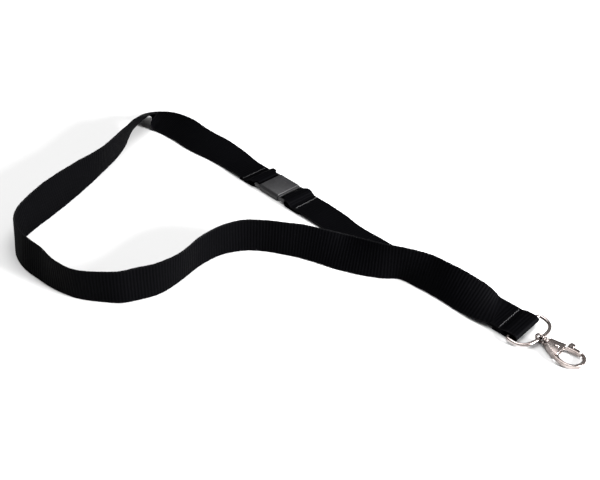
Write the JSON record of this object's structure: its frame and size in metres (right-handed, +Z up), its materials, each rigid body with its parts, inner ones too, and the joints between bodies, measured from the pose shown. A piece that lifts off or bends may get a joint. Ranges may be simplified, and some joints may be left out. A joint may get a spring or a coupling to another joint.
{
  "type": "lanyard",
  "caption": "Black webbing neck lanyard lying in an open loop, with a grey quick-release buckle, a D-shaped ring and a swivelling trigger hook for keys or a badge.",
  "frame": {"origin": "on the table, under the middle of the box that the whole lanyard fills", "axes": "+Z up from the table; +X along the loop's longest extent, towards the hook; +Y away from the side the lanyard is seen from"},
  "size_m": [0.2992, 0.2363, 0.0201],
  "materials": {
    "black_webbing": "ribbed woven polyester, dull with a slight sheen",
    "grey_thread": "sewn thread",
    "grey_plastic": "fine matte",
    "dark_plastic": "fine matte",
    "nickel": "bright nickel plate",
    "ring_wire": "bright nickel plate",
    "spring_steel": "drawn wire"
  },
  "bodies": {
    "loop": {"neck_strap": "black_webbing", "short_strap": "black_webbing", "ring_seam": "grey_thread", "socket_seam": "grey_thread", "buckle_socket": "grey_plastic"},
    "plug": {"buckle_plug": "dark_plastic", "plug_seam": "grey_thread"},
    "ring": {"d_ring": "ring_wire"},
    "eye": {"swivel_eye": "nickel"},
    "hook": {"hook_body": "nickel", "lever_pin": "spring_steel"},
    "gate": {"gate_lever": "nickel", "lever_spring": "spring_steel"}
  },
  "joints": [
    {"name": "plug_release", "type": "slide", "parent": "loop", "child": "plug", "axis": [0.7133, -0.7009, 0], "range_m": [0, 0.0125], "deforming": ["short_strap"]},
    {"name": "ring_hinge", "type": "hinge", "parent": "loop", "child": "ring", "pos_m": [0.12205, -0.0905, 0.0029], "axis": [0.7646, 0.6416, 0.061], "range_deg": [-75, 75]},
    {"name": "eye_rock", "type": "hinge", "parent": "ring", "child": "eye", "pos_m": [0.12912, -0.09893, 0.0029], "axis": [0.7646, 0.6416, 0.061], "range_deg": [-70, 70]},
    {"name": "hook_swivel", "type": "hinge", "parent": "eye", "child": "hook", "pos_m": [0.12912, -0.09893, 0.0029], "axis": [0.7475, -0.6613, -0.0628], "continuous": true},
    {"name": "gate_open", "type": "hinge", "parent": "hook", "child": "gate", "pos_m": [0.13595, -0.10537, 0.00231], "axis": [-0.047, 0.0416, -0.998], "range_deg": [0, 24], "stiffness_Nm_per_rad": 0.02, "springref_deg": -11.46}
  ]
}
